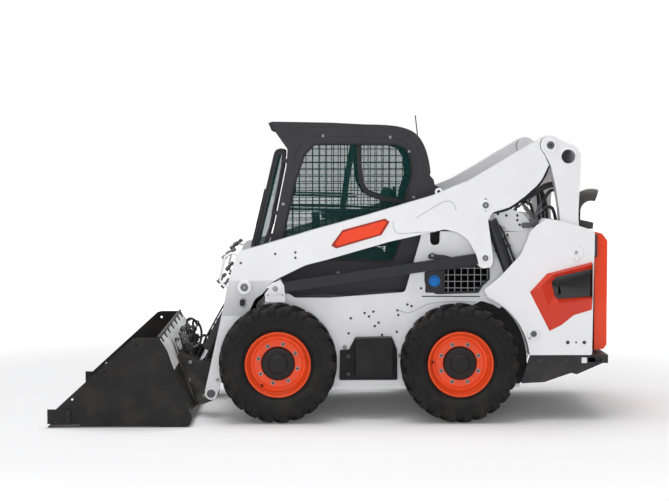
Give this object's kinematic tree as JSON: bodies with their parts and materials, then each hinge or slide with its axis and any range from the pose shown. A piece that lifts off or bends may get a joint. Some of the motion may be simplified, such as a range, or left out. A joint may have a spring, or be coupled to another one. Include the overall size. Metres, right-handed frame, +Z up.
{
  "type": "skid steer loader",
  "caption": "Skid steer loader with vertical-lift arms, enclosed cab, quick-attach coupler and dirt bucket; arms, bucket, wheels, door, tailgate, hood and seat bar move.",
  "frame": {"origin": "on the ground, midway from the bucket's edge to the rear bumper, and midway across", "axes": "+X forward over the bucket, +Y to the operator's left, +Z up"},
  "size_m": [3.881, 2.06, 2.0867],
  "materials": {
    "white_paint": "satin, light grey white",
    "orange_paint": "gloss, orange red",
    "black_paint": "satin",
    "cab_paint": "fine texture, charcoal",
    "bucket_steel": "worn gloss with light rust",
    "tyre_rubber": "matt",
    "rod_chrome": "polished",
    "window_glass": "clear, slightly green",
    "seat_vinyl": "grained",
    "cab_plastic": "fine texture",
    "edge_steel": "worn",
    "cast_engine": "rough",
    "pipe_black": "heat resistant, matt",
    "lamp_glass": "clear"
  },
  "bodies": {
    "root": {"main_frame": "white_paint", "engine_block": "cast_engine", "lift_lugs": "white_paint", "rear_towers": "white_paint", "side_inlays": "orange_paint", "badge_plates": "black_paint", "rear_bumper": "black_paint", "exhaust": "pipe_black", "side_grilles": "black_paint", "step_covers": "black_paint", "cab_shell": "cab_paint", "side_windows": "window_glass", "rear_and_roof_glass": "window_glass", "seat": "seat_vinyl", "control_pods": "cab_plastic", "joysticks": "cab_plastic", "work_lamps": "lamp_glass"},
    "rear_links": {"rear_links": "white_paint"},
    "lift_arms": {"lift_arm_left": "white_paint", "lift_arm_right": "white_paint", "arm_cross_tube": "white_paint"},
    "control_links": {"control_links": "black_paint"},
    "lift_barrels": {"lift_cylinder_barrels": "black_paint"},
    "lift_rods": {"lift_cylinder_rods": "rod_chrome"},
    "tilt_barrels": {"tilt_cylinder_barrels": "black_paint"},
    "tilt_rods": {"tilt_cylinder_rods": "rod_chrome"},
    "bucket": {"coupler": "black_paint", "bucket": "bucket_steel", "side_cutters": "edge_steel", "cutting_edge": "edge_steel"},
    "door": {"door_frame": "black_paint", "door_glass": "window_glass", "door_handle": "black_paint"},
    "tailgate": {"tailgate": "orange_paint"},
    "hood": {"hood": "black_paint"},
    "seat_bar": {"seat_bar": "black_paint"},
    "wheel_front_left": {"tyre_front_left": "tyre_rubber", "rim_front_left": "orange_paint"},
    "wheel_front_right": {"tyre_front_right": "tyre_rubber", "rim_front_right": "orange_paint"},
    "wheel_rear_left": {"tyre_rear_left": "tyre_rubber", "rim_rear_left": "orange_paint"},
    "wheel_rear_right": {"tyre_rear_right": "tyre_rubber", "rim_rear_right": "orange_paint"}
  },
  "joints": [
    {"name": "wheel_front_left", "type": "hinge", "parent": "root", "child": "wheel_front_left", "pos_m": [0.37, 0.757, 0.41], "axis": [0, 1, 0], "continuous": true},
    {"name": "wheel_front_right", "type": "hinge", "parent": "root", "child": "wheel_front_right", "pos_m": [0.37, -0.757, 0.41], "axis": [0, 1, 0], "continuous": true},
    {"name": "wheel_rear_left", "type": "hinge", "parent": "root", "child": "wheel_rear_left", "pos_m": [-0.891, 0.757, 0.41], "axis": [0, 1, 0], "continuous": true},
    {"name": "wheel_rear_right", "type": "hinge", "parent": "root", "child": "wheel_rear_right", "pos_m": [-0.891, -0.757, 0.41], "axis": [0, 1, 0], "continuous": true},
    {"name": "rear_link", "type": "hinge", "parent": "root", "child": "rear_links", "pos_m": [-1.701, 0, 1.175], "axis": [0, -1, 0], "range_deg": [-1.03, 0.3]},
    {"name": "lift", "type": "hinge", "parent": "rear_links", "child": "lift_arms", "pos_m": [-1.52, 0, 1.919], "axis": [0, -1, 0], "range_deg": [0, 66.73]},
    {"name": "control_link", "type": "hinge", "parent": "root", "child": "control_links", "pos_m": [0.389, 0, 0.923], "axis": [0, -1, 0], "range_deg": [-39.27, 0.3]},
    {"name": "lift_barrel", "type": "hinge", "parent": "root", "child": "lift_barrels", "pos_m": [-1.408, 0, 0.607], "axis": [0, -1, 0], "range_deg": [-0.3, 4.33]},
    {"name": "lift_rod", "type": "slide", "parent": "lift_barrels", "child": "lift_rods", "axis": [0.3511, 0, 0.9363], "range_m": [-0.002, 0.6615]},
    {"name": "tilt", "type": "hinge", "parent": "lift_arms", "child": "bucket", "pos_m": [0.845, 0, 0.172], "axis": [0, -1, 0], "range_deg": [-108, 28]},
    {"name": "tilt_barrel", "type": "hinge", "parent": "lift_arms", "child": "tilt_barrels", "pos_m": [0.622, 0, 0.916], "axis": [0, -1, 0], "range_deg": [-7.78, 2.24]},
    {"name": "tilt_rod", "type": "slide", "parent": "tilt_barrels", "child": "tilt_rods", "axis": [0.4907, 0, -0.8713], "range_m": [-0.0814, 0.3081]},
    {"name": "door", "type": "hinge", "parent": "root", "child": "door", "pos_m": [0.3975, 0.448, 1.505], "axis": [-0.1924, 0, 0.9813], "range_deg": [0, 92]},
    {"name": "tailgate", "type": "hinge", "parent": "root", "child": "tailgate", "pos_m": [-1.858, -0.612, 0.9], "axis": [0, 0, 1], "range_deg": [0, 100]},
    {"name": "hood", "type": "hinge", "parent": "root", "child": "hood", "pos_m": [-0.712, 0, 1.358], "axis": [0, 1, 0], "range_deg": [0, 25]},
    {"name": "seat_bar", "type": "hinge", "parent": "root", "child": "seat_bar", "pos_m": [-0.3, 0, 1.42], "axis": [0, -1, 0], "range_deg": [0, 80]}
  ],
  "couplings": [
    {"joint": "wheel_rear_left", "follows": "wheel_front_left", "ratio": 1},
    {"joint": "wheel_rear_right", "follows": "wheel_front_right", "ratio": 1},
    {"joint": "rear_link", "follows": "lift", "ratio": -0.010993},
    {"joint": "control_link", "follows": "lift", "ratio": -0.58394},
    {"joint": "lift_barrel", "follows": "lift", "ratio": 0.06041},
    {"joint": "lift_rod", "follows": "lift", "m_per_rad": 0.56625},
    {"joint": "tilt_barrel", "follows": "tilt", "ratio": 0.069302},
    {"joint": "tilt_rod", "follows": "tilt", "m_per_rad": -0.1624}
  ]
}
